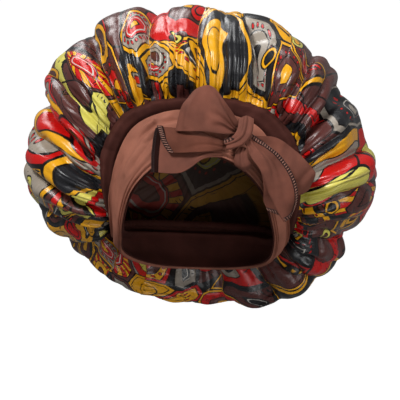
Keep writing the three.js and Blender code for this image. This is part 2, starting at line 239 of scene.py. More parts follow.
def outline_radius(angles):
    """The bag's radius, with a rounded crest and a narrow valley for each fold."""
    at, value, kind = [], [], []
    for fold in FOLDS:
        at += [fold["valley"], fold["crest"]]
        value += [fold["radius"], fold["crest_radius"]]
        kind += [0, 1]
    at = np.array([at[-1] - 360, *at, at[0] + 360], float)
    value = np.array([value[-1], *value, value[0]], float)
    is_crest = np.array([1, *kind, 0])
    i = np.searchsorted(at, angles, side="right") - 1
    share = (angles - at[i]) / (at[i + 1] - at[i])
    rising = is_crest[i] == 0
    low = np.where(rising, value[i], value[i + 1])
    high = np.where(rising, value[i + 1], value[i])
    from_valley = np.where(rising, share, 1 - share)
    return low + (high - low) * np.sin(from_valley * math.pi / 2) ** 0.8


def wave_noise(x, y, seed, octaves=3):
    """Smooth noise about 0 with features about 1 across, made of seeded waves."""
    chance = random.Random(seed)
    total = np.zeros(np.broadcast(x, y).shape)
    for octave in range(octaves):
        size = 2.0**octave
        for _ in range(6):
            turn = chance.uniform(0, 2 * math.pi)
            shift = chance.uniform(0, 2 * math.pi)
            pitch = chance.uniform(0.7, 1.3) * size * math.pi
            along = x * math.cos(turn) + y * math.sin(turn)
            bend = 0.6 * np.sin((x * math.sin(turn) - y * math.cos(turn)) * pitch * 0.6 + shift)
            total += np.sin(along * pitch + shift + bend) / size
    return total / 6


def grid_normals(grid, closed):
    """Unit normals of a grid of points, which may close on itself along its first axis."""
    if closed:
        round_it = np.roll(grid, -1, axis=0) - np.roll(grid, 1, axis=0)
    else:
        round_it = np.gradient(grid, axis=0)
    along = np.gradient(grid, axis=1)
    return unit(np.cross(round_it, along))


def wrinkles(x, y, rows):
    """Ridges (height over 0) and creases (under 0) along lines between places in millimetres."""
    lift = np.zeros(np.broadcast(x, y).shape)
    for row in rows:
        (ax, ay), (bx, by) = row["from"], row["to"]
        dx, dy = bx - ax, by - ay
        along = np.clip(((x - ax) * dx + (y - ay) * dy) / (dx * dx + dy * dy), 0, 1)
        bow = row.get("bow", 0) * np.sin(math.pi * along)
        length = math.hypot(dx, dy)
        off_x = x - ax - dx * along + bow * dy / length
        off_y = y - ay - dy * along - bow * dx / length
        reach = np.hypot(off_x, off_y) / row["width"]
        taper = 1 - row.get("taper", 1.0) * along**2
        lift += row["height"] * taper * bell(reach)
    return lift


# The bag

PLEATS = 118
PLEAT_PHASES = [0, 0.14, 0.32, 0.5, 0.68, 0.86]
BACK_EASE = 1.1
FOLD_WIDTH = 12
FRONT_ROWS = 44
BACK_ROWS = 20
TUCK_BEHIND = 1.9
TRIM_REACH = 0.3
SEAM_FULLNESS, RIM_FULLNESS, BACK_FULLNESS = 0.5, 1.9, 0.62

# Heights in millimetres. Starts and lengths are shares of the way from the seam to the outline.
PLEAT_HEIGHT, PLEAT_SIDEWAYS = 4.0, 2.0
SMALL_FOLDS = {"seed": 12, "height": 4.6, "start": 0.12, "length": 0.35}
BROAD_FOLDS = {"seed": 13, "height": 6.0, "start": 0.35, "length": 0.6}
CREASE_STRENGTH = 1.2
FRONT_SPREAD = 170
CRUMPLE_SIZE, CRUMPLE_HEIGHT = 52, 3.5
PUFF_SIZE, PUFF_HEIGHT = 30, 2.6
NAPE_SLOPE = 30


def band_line(angles, places):
    """The band's surface from the hem (0) over the tie's edge (2) to the seam (3)."""
    hem, top, seam = (ring_edge(edge, angles) for edge in ("hem", "top", "seam"))
    middle = (hem + top) / 2
    middle = middle + unit(middle * (1, 0.9, 1)) * HEAD_BULGE
    four = np.stack([hem, middle, top, seam])
    lines = [catmull_rom(four, np.full(1, place), closed=False)[0] for place in places]
    return np.stack(lines, axis=1)


def bag_base(angles, front, back):
    """The smooth bag: lines from the seam over the widest line to the middle of the back."""
    near_seam = band_line(angles, np.array([2.9, 2.97, 3.0]))
    band_normal = grid_normals(near_seam, closed=True)[:, 1]
    seam = near_seam[:, 1] - band_normal * TUCK_BEHIND
    radius = outline_radius(angles)
    turn = np.radians(angles)
    widest = around(BAG_DEPTHS, "widest", angles)
    rim = np.stack(
        [BAG_MIDDLE_X + radius * np.sin(turn), widest, BAG_MIDDLE_Z + radius * np.cos(turn)],
        axis=1,
    )
    middle = np.array([BAG_MIDDLE_X, BAG_BACK_Y, BAG_MIDDLE_Z], float)
    swell_front = around(BAG_DEPTHS, "swell_front", angles)
    swell_back = around(BAG_DEPTHS, "swell_back", angles)
    ahead = np.array([0.0, 1.0, 0.0])
    outward = (rim - seam) * (1, 0, 1)
    front_part = bezier(
        seam,
        seam + outward * SEAM_FULLNESS - swell_front[:, None] * ahead,
        rim - RIM_FULLNESS * np.abs(swell_front)[:, None] * ahead,
        rim,
        front,
    )
    back_part = bezier(
        rim,
        rim + swell_back[:, None] * ahead,
        middle + (rim - middle) * (1, 0, 1) * BACK_FULLNESS,
        np.broadcast_to(middle, rim.shape),
        back,
    )
    return np.concatenate([front_part, back_part[:, 1:]], axis=1)


def pleat_columns():
    """Columns of points that follow the gathers, a few to each pleat."""
    chance = np.random.default_rng(11)
    widths = chance.uniform(0.6, 1.4, PLEATS)
    edges = running_sum(widths) * 360 / widths.sum()
    which = np.repeat(np.arange(PLEATS), len(PLEAT_PHASES))
    phase = np.tile(PLEAT_PHASES, PLEATS)
    start, width = edges[which], edges[which + 1] - edges[which]
    return {
        "angle": start + phase * width,
        "phase": phase,
        "start": start,
        "width": width,
        "height": (chance.uniform(0.6, 1.3, PLEATS) * widths)[which],
        "length": chance.uniform(0.16, 0.44, PLEATS)[which],
        "lean": chance.uniform(-0.7, 0.7, PLEATS)[which],
    }


def fold_edges():
    """Where the broad folds meet at the seam, in degrees: at each crease, and evenly between."""
    starts = [crease["start"] for crease in sorted(CREASES, key=lambda crease: crease["start"])]
    edges = []
    for here, there in zip(starts, [*starts[1:], starts[0] + 360]):
        count = max(1, round((there - here) / FOLD_WIDTH))
        edges += [here + (there - here) * k / count for k in range(count)]
    return np.array(edges)


def uneven_edges(count, seed):
    """Places round a full turn, in degrees, with uneven steps between them."""
    widths = np.random.default_rng(seed).uniform(0.5, 1.5, count)
    return np.cumsum(widths) * 360 / widths.sum()


def folds(places, share, edges, seed, height, start, length):
    """Folds side by side round the bag between edges, each with its own height and length."""
    chance = np.random.default_rng(seed)
    count = len(edges)
    place = np.interp((places - edges[0]) % 360, [*(edges - edges[0]), 360], np.arange(count + 1))
    which = np.minimum(place.astype(int), count - 1)
    widths = np.diff([*edges, edges[0] + 360]) * count / 360
    heights = (chance.uniform(0.4, 1.3, count) * widths)[which]
    lengths = chance.uniform(0.5, 1.5, count)[which] * length
    fade = smooth(share / start) * bell(np.maximum(share - start, 0) / lengths)
    fade = fade * (1 - smooth((share - 1.2) / 0.6))
    return height * heights * np.abs(np.sin(math.pi * (place - which))) ** 0.8 * fade


def leaning(places, share):
    """The angle that a line from a place on the seam reaches, leaning as the creases do."""
    creases = sorted(CREASES, key=lambda crease: crease["start"])
    starts = [crease["start"] for crease in creases]
    turns = [turned(crease["end"] - crease["start"]) for crease in creases]
    return places + np.interp(places, starts, turns, period=360) * np.minimum(share, 1)


def outline_trim(angles, share):
    """How far the trims move the cloth out, most at the outline (share 1)."""
    out = np.zeros(np.broadcast(angles, share).shape)
    from_outline = (share - 1) / TRIM_REACH
    for trim in OUTLINE_TRIMS:
        across = turned(angles - trim["angle"]) / trim["width"]
        out += trim["out"] * np.exp(-(across**2) - from_outline**2)
    return out


def crease_depth(places, share):
    """How deep the creases are at places on the seam, share of the way out to the outline."""
    depth = np.zeros(np.broadcast(places, share).shape)
    for crease in CREASES:
        along = np.clip(share / crease["reach"], 0, 1)
        across = turned(places - crease["start"]) / crease["width"]
        strength = np.sin(math.pi * np.clip(along * 0.8 + 0.12, 0, 1)) ** 0.7
        strength = strength * smooth((crease["reach"] - share) / 0.35)
        depth += crease["depth"] * strength * np.exp(-np.abs(across) ** 1.3)
    return depth


def ring_length(grid):
    closed = np.concatenate([grid, grid[:1]])
    return np.linalg.norm(np.diff(closed, axis=0), axis=2).sum(axis=0)


def flat_places(smooth_bag, base, share, pleat):
    """Where each point lies on the flat round of satin. The valleys swallow the spare cloth."""
    steps = np.linalg.norm(np.diff(smooth_bag, axis=1), axis=2).mean(axis=0)
    rings = ring_length(base)
    back_length = steps[FRONT_ROWS:].sum()
    back_scale = BACK_EASE * rings[FRONT_ROWS] / (2 * math.pi * back_length)
    ease = smooth((1 - (share[1:] + share[:-1]) / 2) * 1.6)
    steps = steps * (back_scale + (1 - back_scale) * ease)
    reach = np.concatenate([np.cumsum(steps[::-1])[::-1], [0]])
    shown = np.clip(rings / np.maximum(2 * math.pi * reach, 1), 0.2, 1)

    edges = fold_edges()
    closed = [*(edges - edges[0]), 360]
    which = np.searchsorted(closed, (pleat["angle"] - edges[0]) % 360, side="right") - 1
    fold_middle = edges[0] + (np.array(closed)[which] + np.array(closed)[which + 1]) / 2
    pleat_middle = pleat["start"] + pleat["width"] / 2
    from_fold = turned(pleat_middle - fold_middle)
    in_pleat = (pleat["angle"] - pleat_middle)[:, None]
    merged = smooth((share - 0.05) / 0.4)
    turn = fold_middle[:, None] + from_fold[:, None] * (1 + (shown - 1) * merged) + in_pleat * shown
    turn = np.radians(leaning(turn, share))
    return reach * np.sin(turn), reach * np.cos(turn)


def crumple(angle, row):
    """Uneven puffs and dents of the loose satin, none at the seam or the middle of the back."""
    turn = np.radians(angle)
    u, v = row * FRONT_SPREAD * np.sin(turn), row * FRONT_SPREAD * np.cos(turn)
    dents = wave_noise(u / CRUMPLE_SIZE, v / CRUMPLE_SIZE, seed=21) * CRUMPLE_HEIGHT
    dents += np.abs(wave_noise(u / PUFF_SIZE, v / PUFF_SIZE, seed=22, octaves=2)) * PUFF_HEIGHT
    return dents * smooth(row * 2) * (1 - smooth((row - 1.75) * 4))


def bag_lift(place, row, angle, ridge):
    """How far the satin stands off the smooth bag."""
    lift = PLEAT_HEIGHT * ridge
    lift = lift + folds(place, row, uneven_edges(60, seed=12), **SMALL_FOLDS)
    lift = lift + folds(place, row, fold_edges(), **BROAD_FOLDS)
    lift = lift - CREASE_STRENGTH * crease_depth(place, row) + outline_trim(angle, row) - 2.0
    lift = lift + crumple(angle, row) - 1.0
    lift = lift * (smooth(row * 16) * 0.95 + 0.05) * (1 - smooth((row - 1.9) * 10))
    nape_lift = np.minimum(lift, NAPE_SLOPE * np.maximum(row - 0.04, 0))
    return lift + (nape_lift - lift) * nape_share(place)


def bag_grid():
    """The gathered bag's points, and where each lies on the flat round of satin."""
    even = np.arange(720) * 0.5
    front = (np.arange(FRONT_ROWS + 1) / FRONT_ROWS) ** 1.15
    back = np.arange(1, BACK_ROWS + 1) / BACK_ROWS
    share = np.concatenate([front, 1 + back])
    smooth_bag = bag_base(even, front, np.concatenate([[0], back]))
    pleat = pleat_columns()
    column = {key: value[:, None] for key, value in pleat.items()}
    row = share[None, :]
    place = column["angle"]
    wander = 1.6 * wave_noise(row * 2.0, place / 30, seed=3) * smooth(row * 2.5)
    angle = leaning(place, row) + wander
    base = np.empty((len(angle), len(share), 3))
    for j in range(len(share)):
        for axis in range(3):
            base[:, j, axis] = np.interp(angle[:, j], even, smooth_bag[:, j, axis], period=360)
    normal = grid_normals(base, closed=True)
    round_it = unit(np.roll(base, -1, axis=0) - np.roll(base, 1, axis=0))

    ridge = np.sin(math.pi * column["phase"]) ** 0.8
    ridge = ridge * column["height"] * bell(row / column["length"])
    lift = bag_lift(place, row, angle, ridge)
    side = column["lean"] * ridge * PLEAT_SIDEWAYS * smooth(row * 20)
    u, v = flat_places(smooth_bag, base, share, pleat)
    return base + normal * lift[..., None] + round_it * side[..., None], u, v


# Meshes


def strip_flat(grid, closed):
    """A strip's flat coordinates: the length along or round it, and the width over it."""
    whole = np.concatenate([grid, grid[:1]]) if closed else grid
    along = np.linalg.norm(np.diff(whole, axis=0), axis=2).mean(axis=1)
    over = np.linalg.norm(np.diff(grid, axis=1), axis=2).mean(axis=0)
    return np.meshgrid(running_sum(along), running_sum(over), indexing="ij")


def new_object(name, data):
    thing = bpy.data.objects.new(name, data)
    bpy.context.scene.collection.objects.link(thing)
    return thing


def corners(values):
    """The values at the four corners of each face of a grid, a row to each face."""
    four = [values[:-1, :-1], values[1:, :-1], values[1:, 1:], values[:-1, 1:]]
    return np.stack([corner.ravel() for corner in four], axis=1)


def cloth_object(name, grid, u, v, closed, wall, face_material, reverse_material):
    """A sheet of cloth from a grid of points in millimetres, with its flat coordinates as UVs."""
    columns, rows = grid.shape[:2]
    index = np.arange(columns * rows).reshape(columns, rows)
    if closed:
        index = np.concatenate([index, index[:1]])
        if len(u) == columns:
            u, v = np.concatenate([u, u[:1]]), np.concatenate([v, v[:1]])
    mesh = bpy.data.meshes.new(name)
    mesh.from_pydata((grid.reshape(-1, 3) * MM).tolist(), [], corners(index).tolist())
    layer = mesh.uv_layers.new(name="flat")
    flat = np.stack([corners(u).ravel(), corners(v).ravel()], axis=1)
    layer.data.foreach_set("uv", (flat.ravel() * MM).tolist())
    mesh.polygons.foreach_set("use_smooth", [True] * len(mesh.polygons))
    piece = new_object(name, mesh)
    mesh.materials.append(face_material)
    mesh.materials.append(reverse_material)
    thickness = piece.modifiers.new("Thickness", "SOLIDIFY")
    thickness.thickness = wall * MM
    thickness.offset = -1
    thickness.material_offset = 1
    thickness.use_even_offset = False
    return piece


def place_piece(piece, slot, *nodes):
    if nodes:
        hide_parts(*nodes)
    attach(piece, "root")


# Materials


def linear(red, green, blue):
    """A colour given as 0 to 255 sRGB."""
    out = []
    for value in (red, green, blue):
        c = value / 255
        out.append(c / 12.92 if c <= 0.04045 else ((c + 0.055) / 1.055) ** 2.4)
    return (*out, 1)


MUSTARD = linear(214, 152, 20)
RED = linear(180, 16, 14)
TAUPE = linear(144, 134, 122)
BROWN = linear(80, 42, 38)
CHARCOAL = linear(28, 28, 31)
OLIVE = linear(204, 194, 90)
INK = linear(14, 9, 9)
PALE_LINE = linear(184, 178, 170)
TIE_BROWN = linear(146, 92, 74)
# A darker copy of the tie's brown for the bow: partly slack knit, partly painted shade for the bow's
# less lit side.
SHADED_BOW_BROWN = linear(115, 67, 53)
# The left end's jersey: its reverse side, darkened further as painted shade of the tie end.
REVERSE_SHADED_BROWN = linear(98, 56, 43)
# Near-black brown of the painted shadow sheets on the left end.
SHADOW_SHEET_BROWN = linear(34, 15, 12)
BAND_BROWN = linear(70, 36, 30)
# Dark overlock thread, partly painted shadow along the cut edges.
THREAD_DARK_AND_EDGE_SHADE = linear(44, 26, 24)
THREAD_LIGHT = linear(150, 108, 94)


class Graph:
    """Short calls to build a material's nodes."""

    def __init__(self, name):
        self.material = bpy.data.materials.new(name)
        self.material.use_nodes = True
        self.tree = self.material.node_tree
        self.tree.nodes.clear()

    def put(self, socket, value):
        if isinstance(value, bpy.types.NodeSocket):
            self.tree.links.new(value, socket)
        else:
            socket.default_value = value

    def node(self, kind, inputs, **settings):
        node = self.tree.nodes.new(kind)
        for key, value in settings.items():
            setattr(node, key, value)
        for key, value in inputs.items():
            self.put(node.inputs[key], value)
        return node

    def math(self, operation, a, b=0.0):
        return self.node("ShaderNodeMath", {0: a, 1: b}, operation=operation).outputs[0]

    def plus(self, a, b):
        return self.math("ADD", a, b)

    def minus(self, a, b):
        return self.math("SUBTRACT", a, b)

    def times(self, a, b):
        return self.math("MULTIPLY", a, b)

    def over(self, a, b):
        """1 where a is over b, and 0 elsewhere."""
        return self.math("GREATER_THAN", a, b)

    def vector(self, operation, a, b=(0, 0, 0), scale=1.0):
        inputs = {0: a, 1: b, 3: scale}
        return self.node("ShaderNodeVectorMath", inputs, operation=operation).outputs[0]

    def below(self, value, edge, soft=0.15):
        """1 where value is under edge and 0 over it."""
        return self.spread(value, self.minus(edge, soft), self.plus(edge, soft), 1.0, 0.0)

    def between(self, value, low, high):
        over = self.over(value, low)
        return self.times(over, self.math("LESS_THAN", value, high))

    def spread(self, value, low, high, out_low, out_high):
        """Takes a value between low and high to its place between out_low and out_high."""
        inputs = {0: value, 1: low, 2: high, 3: out_low, 4: out_high}
        return self.node("ShaderNodeMapRange", inputs).outputs[0]

    def mix(self, share, a, b):
        node = self.node("ShaderNodeMix", {}, data_type="RGBA")
        self.put(node.inputs[0], share)
        self.put(node.inputs[6], a)
        self.put(node.inputs[7], b)
        return node.outputs[2]

    def steps(self, value, stops):
        """A colour for each range of value; stops are pairs of place and colour."""
        node = self.node("ShaderNodeValToRGB", {0: value})
        ramp = node.color_ramp
        ramp.interpolation = "CONSTANT"
        while len(ramp.elements) < len(stops):
            ramp.elements.new(0.5)
        for element, (place, color) in zip(ramp.elements, stops):
            element.position = place
            element.color = color
        return node.outputs[0]

    def noise(self, vector, scale, detail=1.0, output="Fac"):
        inputs = {"Vector": vector, "Scale": scale, "Detail": detail}
        return self.node("ShaderNodeTexNoise", inputs).outputs[output]

    def wave(self, vector, scale, distortion, direction):
        inputs = {"Vector": vector, "Scale": scale, "Distortion": distortion}
        return self.node("ShaderNodeTexWave", inputs, bands_direction=direction).outputs["Fac"]

    def voronoi(self, vector, scale, feature="F1", randomness=1.0):
        inputs = {"Vector": vector, "Scale": scale, "Randomness": randomness}
        kind = "ShaderNodeTexVoronoi"
        return self.node(kind, inputs, feature=feature, voronoi_dimensions="2D")

    def turned_and_scaled(self, vector, turn, scale):
        inputs = {0: vector, "Scale": scale, "Rotation": (0, 0, turn)}
        return self.node("ShaderNodeMapping", inputs).outputs[0]

    def length(self, x, y):
        return self.math("SQRT", self.plus(self.times(x, x), self.times(y, y)))

    def repeats(self, value, count):
        """Rises from 0 to 1, count times for each step of 1 in value."""
        return self.math("FRACT", self.times(value, float(count)))

    def channels(self, color):
        return self.node("ShaderNodeSeparateColor", {0: color}).outputs

    def bump(self, height, distance, strength=1.0, under=None):
        inputs = {"Height": height, "Distance": distance, "Strength": strength}
        if under is not None:
            inputs["Normal"] = under
        return self.node("ShaderNodeBump", inputs).outputs[0]

    def finish(self, **inputs):
        shader = self.node("ShaderNodeBsdfPrincipled", {})
        for key, value in inputs.items():
            self.put(shader.inputs[key.replace("_", " ")], value)
        output = self.node("ShaderNodeOutputMaterial", {})
        self.tree.links.new(shader.outputs[0], output.inputs[0])
        return self.material


def flat_millimetres(graph):
    flat = graph.node("ShaderNodeUVMap", {}, uv_map="flat").outputs[0]
    return graph.vector("SCALE", flat, scale=1000.0)


def warped(graph, flat, size, amount):
    """Coordinates pushed about by noise whose features are size across."""
    drift = graph.noise(flat, 1 / size, detail=0.0, output="Color")
    push = graph.vector("SUBTRACT", drift, (0.5, 0.5, 0.5))
    return graph.vector("ADD", flat, graph.vector("SCALE", push, scale=amount))


PRINT_SHIFT = (-1500, 300, 0)
CELL = 54
DROP_CELL = 40
LANE_SIZE = 170
STRIPES, DOTS = 13, 17
DOT_RADIUS, DOT_RING = 1.3, 0.8
INK_HALF_WIDTH = 0.6
FULL_TURN = 2 * math.pi


def print_cells(graph, wide):
    """Each cell's random picks, and a point's distance from its edge, its turn and its reach."""
    cells = graph.voronoi(wide, 1 / CELL)
    edges = graph.voronoi(wide, 1 / CELL, feature="DISTANCE_TO_EDGE")
    edge = graph.times(edges.outputs["Distance"], float(CELL))
    picks = graph.channels(cells.outputs["Color"])[:3]
    from_middle = graph.vector("SUBTRACT", wide, cells.outputs["Position"])
    x, y = graph.node("ShaderNodeSeparateXYZ", {0: from_middle}).outputs[:2]
    turn = graph.math("DIVIDE", graph.math("ARCTAN2", y, x), FULL_TURN)
    return picks, edge, turn, graph.length(x, y)


def line_at(graph, value, place, half_width):
    """1 on a thin line where value is place."""
    off = graph.math("ABSOLUTE", graph.minus(value, place))
    return graph.below(off, half_width)


def striped(graph, color, turn, where):
    """Cross stripes in two colours, with ink between them."""
    phase = graph.repeats(turn, STRIPES)
    stripe = graph.mix(graph.over(phase, 0.5), RED, MUSTARD)
    half = graph.repeats(phase, 2)
    rule = graph.over(graph.math("ABSOLUTE", graph.minus(half, 0.5)), 0.44)
    return graph.mix(where, color, graph.mix(rule, stripe, INK))


def dotted(graph, color, turn, reach, off_middle, where):
    """A row of ringed dots along the middle of a band."""
    phase = graph.repeats(turn, DOTS)
    along = graph.times(graph.minus(phase, 0.5), reach)
    along = graph.times(along, FULL_TURN / DOTS)
    away = graph.length(along, off_middle)
    dot = graph.mix(graph.below(away, DOT_RADIUS), INK, RED)
    ringed = graph.below(away, DOT_RADIUS + DOT_RING)
    return graph.mix(graph.times(ringed, where), color, dot)


def nested_bands(graph, cells):
    """Cells filled by bands that follow their outline, some striped and some dotted."""
    (pick_a, pick_b, pick_c), edge, turn, reach = cells
    outer = graph.steps(
        pick_a,
        [(0, MUSTARD), (0.28, TAUPE), (0.36, RED), (0.46, CHARCOAL), (0.63, BROWN), (0.85, MUSTARD)],
    )
    middle = graph.steps(
        pick_b,
        [(0, BROWN), (0.18, RED), (0.3, MUSTARD), (0.48, TAUPE), (0.57, CHARCOAL), (0.74, RED)],
    )
    heart = graph.steps(
        pick_c,
        [(0, BROWN), (0.22, MUSTARD), (0.44, TAUPE), (0.54, RED), (0.66, CHARCOAL), (0.86, OLIVE)],
    )
    first = graph.spread(pick_b, 0, 1, 3.2, 7.0)
    second = graph.spread(pick_c, 0, 1, 9.0, 15.0)
    third = graph.plus(second, 7.5)
    round_edge = graph.minus(CELL * 0.46, reach)
    inward = graph.times(graph.plus(edge, round_edge), 0.5)
    band = graph.plus(graph.minus(inward, second), 3.6)
    middle = striped(graph, middle, turn, graph.between(pick_a, 0.62, 0.8))
    middle = dotted(graph, middle, turn, reach, band, graph.between(pick_a, 0.1, 0.5))
    color = graph.mix(graph.below(edge, first), middle, outer)
    heart = graph.mix(graph.below(third, inward), heart, outer)
    color = graph.mix(graph.below(inward, second), heart, color)
    ring = line_at(graph, inward, graph.plus(second, 2.8), 0.55)
    ringed = graph.times(ring, graph.between(pick_c, 0.56, 0.9))
    color = graph.mix(ringed, color, PALE_LINE)
    outer_line = line_at(graph, edge, first, INK_HALF_WIDTH)
    inner_line = line_at(graph, inward, second, INK_HALF_WIDTH)
    ink = graph.math("MAXIMUM", outer_line, inner_line)
    ink = graph.math("MAXIMUM", ink, line_at(graph, inward, third, 0.5))
    return graph.mix(ink, color, INK)


def flowing_lanes(graph, wide):
    """Long bands side by side that wind over the cloth."""
    flow = graph.times(graph.noise(wide, 1 / LANE_SIZE, detail=0.0), 21.0)
    within = graph.math("ABSOLUTE", graph.minus(graph.math("FRACT", flow), 0.5))
    lane = graph.math("FLOOR", flow)
    pick = graph.node("ShaderNodeTexWhiteNoise", {"W": lane}, noise_dimensions="1D").outputs[0]
    color = graph.steps(
        pick,
        [(0, MUSTARD), (0.26, CHARCOAL), (0.43, RED), (0.54, BROWN), (0.75, TAUPE), (0.92, OLIVE)],
    )
    return graph.mix(graph.over(within, 0.46), color, INK)


def drops_over(graph, wide, color):
    """Drops with an eye, outlined, lie over the rest here and there."""
    tilted = graph.turned_and_scaled(wide, 0.6, (1.0, 0.55, 1.0))
    drops = graph.voronoi(tilted, 1 / DROP_CELL, randomness=0.85)
    reach = graph.times(drops.outputs["Distance"], float(DROP_CELL))
    pick_a, pick_b, pick_c = graph.channels(drops.outputs["Color"])[:3]
    drop = graph.steps(
        pick_b, [(0, RED), (0.2, MUSTARD), (0.5, TAUPE), (0.65, CHARCOAL), (0.85, OLIVE)]
    )
    eye = graph.steps(pick_c, [(0, CHARCOAL), (0.3, RED), (0.6, MUSTARD), (0.8, BROWN)])
    size = graph.spread(pick_c, 0, 1, 5.5, 10.0)
    eye_size = graph.times(size, 0.5)
    drop = graph.mix(graph.below(reach, graph.plus(eye_size, 0.6)), drop, INK)
    drop = graph.mix(graph.below(reach, graph.minus(eye_size, 0.5)), drop, eye)
    drop = graph.mix(graph.below(reach, graph.minus(size, 1.1)), INK, drop)
    shown = graph.times(graph.below(reach, size), graph.over(pick_a, 0.58))
    return graph.mix(shown, color, drop)


def brush_strokes(graph, wide, where, color):
    """A few short dark strokes, as a brush leaves them."""
    drawn = graph.turned_and_scaled(wide, -0.4, (0.11, 0.026, 1.0))
    stroke = graph.noise(drawn, 1.0, detail=0.0)
    shown = graph.times(graph.below(0.74, stroke, 0.008), where)
    return graph.mix(shown, color, INK)


def print_colors(graph, flat):
    """An all-over print of nested shapes, winding bands, drops and strokes, outlined in ink."""
    moved = graph.vector("ADD", flat, PRINT_SHIFT)
    wide = warped(graph, warped(graph, moved, 150, 130), 66, 38)
    cells = print_cells(graph, wide)
    (pick_a, pick_b, _), edge, _, _ = cells
    color = nested_bands(graph, cells)
    color = graph.mix(graph.over(pick_b, 0.72), color, flowing_lanes(graph, wide))
    color = brush_strokes(graph, wide, graph.over(pick_a, 0.5), color)
    color = graph.mix(graph.below(edge, 1.0), color, INK)
    return drops_over(graph, wide, color)


def satin_material(name, reverse):
    graph = Graph(name)
    flat = flat_millimetres(graph)
    color = print_colors(graph, flat)
    if reverse:
        color = graph.mix(0.55, color, linear(96, 76, 66))
    weave = graph.wave(flat, 0.9, 0.6, "Y")
    creased = graph.noise(flat, 1 / 11, detail=2.0)
    pucker = graph.noise(flat, 1 / 30, detail=1.0)
    normal = graph.bump(pucker, 0.002, 0.5)
    normal = graph.bump(creased, 0.0003, 0.5, under=normal)
    normal = graph.bump(weave, 0.00006, 0.3, under=normal)
    gloss = graph.spread(creased, 0.3, 0.7, 0.22, 0.33)
    if reverse:
        gloss = graph.plus(gloss, 0.3)
    return graph.finish(
        Base_Color=color,
        Roughness=gloss,
        Specular_IOR_Level=0.25 if reverse else 0.4,
        Anisotropic=0.3,
        Normal=normal,
    )


def jersey_material(name, color, shade, fuzz=0.12):
    """Matt stretch knit: fine ribs, soft fuzz and slightly uneven dye. A low shade widens the uneven
    tone, and the bow's low shade is partly painted fold shade.
    """
    graph = Graph(name)
    flat = flat_millimetres(graph)
    uneven = graph.noise(flat, 1 / 28, detail=4.0)
    fleck = graph.noise(flat, 1.3, detail=2.0)
    dark = tuple(c * shade for c in color[:3]) + (1,)
    light = tuple(min(1, c * 1.16) for c in color[:3]) + (1,)
    tone = graph.mix(graph.spread(uneven, 0.35, 0.68, 0.0, 1.0), dark, light)
    tone = graph.mix(graph.spread(fleck, 0.3, 0.7, 0.0, 0.22), tone, dark)
    rib = graph.wave(flat, 0.55, 0.4, "X")
    course = graph.wave(flat, 0.42, 0.8, "Y")
    soft = graph.noise(flat, 1 / 16, detail=2.0)
    normal = graph.bump(soft, 0.0016, 0.5)
    normal = graph.bump(graph.times(rib, course), 0.00025, 0.35, under=normal)
    return graph.finish(
        Base_Color=tone,
        Roughness=0.82,
        Specular_IOR_Level=0.05 + 1.7 * fuzz,
        Sheen_Weight=fuzz,
        Sheen_Roughness=0.45,
        Sheen_Tint=light,
        Normal=normal,
    )


def studio_white():
    return Graph("studio_white").finish(
        Base_Color=(0.62, 0.62, 0.62, 1),
        Roughness=0.9,
        Specular_IOR_Level=0.1,
        Emission_Color=(1, 1, 1, 1),
        Emission_Strength=0.78,
    )


SATIN = satin_material("printed_satin", reverse=False)
SATIN_REVERSE = satin_material("printed_satin_reverse", reverse=True)
TIE = jersey_material("tie_jersey", TIE_BROWN, 0.82)
# The bow's cloth: its darker brown and its wider uneven tone (shade 0.62) are partly painted shade of
# the bow's folds.
SHADED_BOW = jersey_material("tie_jersey_slack_painted_shade", SHADED_BOW_BROWN, 0.62)
BAND = jersey_material("band_jersey", BAND_BROWN, 0.7, fuzz=0.04)
SHADED_BOW_REVERSE = jersey_material("tie_jersey_reverse_painted_shade", REVERSE_SHADED_BROWN, 0.7, fuzz=0.04)
DARK_THREAD_AND_EDGE_SHADE = jersey_material("overlock_thread_dark_and_edge_shade", THREAD_DARK_AND_EDGE_SHADE, 0.7)
LIGHT_THREAD = jersey_material("overlock_thread_light", THREAD_LIGHT, 0.8)

grid, u, v = bag_grid()
satin_bag = cloth_object("satin_bag_cloth", grid, u, v, True, SATIN_WALL, SATIN, SATIN_REVERSE)
SATIN_NODES = [f"satin_bag_{part}" for part in ("top", "left", "right", "nape", "back")]
place_piece(satin_bag, "printed_satin", *SATIN_NODES)

# Bands

BAND_COLUMNS = 384
# Places and widths here are shares of the way from the band's hem to its seam.
GAP_PLACE, GAP_RISE, GAP_DEPTH, GAP_WIDTH = 0.715, 0.06, 8.5, 0.045
ROLL_PLACE, ROLL_HEIGHT, ROLL_WIDTH = 0.91, 4.4, 0.06
SEAM_ROLL_WIDTH, SEAM_ROLL_HEIGHT, SEAM_ROLL_BEHIND = 3.4, 2.2, 0.9
SEAM_ROLL_WALL = 0.6


def forehead_share(angles):
    """1 over the forehead, left of the bow, and 0 at the sides and the nape."""
    middle, half_width = -10, 34
    return bell(turned(angles - middle) / half_width)


def edge_band_grid():
    """The band's outer part dips beside the tie and rises to the gathered seam."""
    angles = np.arange(BAND_COLUMNS) * 360 / BAND_COLUMNS
    places = np.linspace(0, 3, 60)
    base = band_line(angles, places)
    normal = grid_normals(base, closed=True)
    share = places[None, :] / 3
    a = angles[:, None]
    gathers = folds(a, 1.01 - share, uneven_edges(46, 31), 31, height=1.7, start=0.01, length=0.14)
    waves = 1.6 * wave_noise(a / 14, share * 1.6, seed=32) * smooth((share - 0.66) * 6)
    gap = GAP_PLACE + GAP_RISE * forehead_share(a)
    dip = GAP_DEPTH * bell((share - gap) / GAP_WIDTH) * smooth((share - 0.62) * 10)
    pucker = 1.2 * wave_noise(a / 9, share * 1.2, seed=33, octaves=2)
    roll = (ROLL_HEIGHT + pucker) * bell((share - ROLL_PLACE) / ROLL_WIDTH)
    outer = (gathers + waves + roll) * (1 - nape_share(a))
    return base + normal * (outer - dip)[..., None]


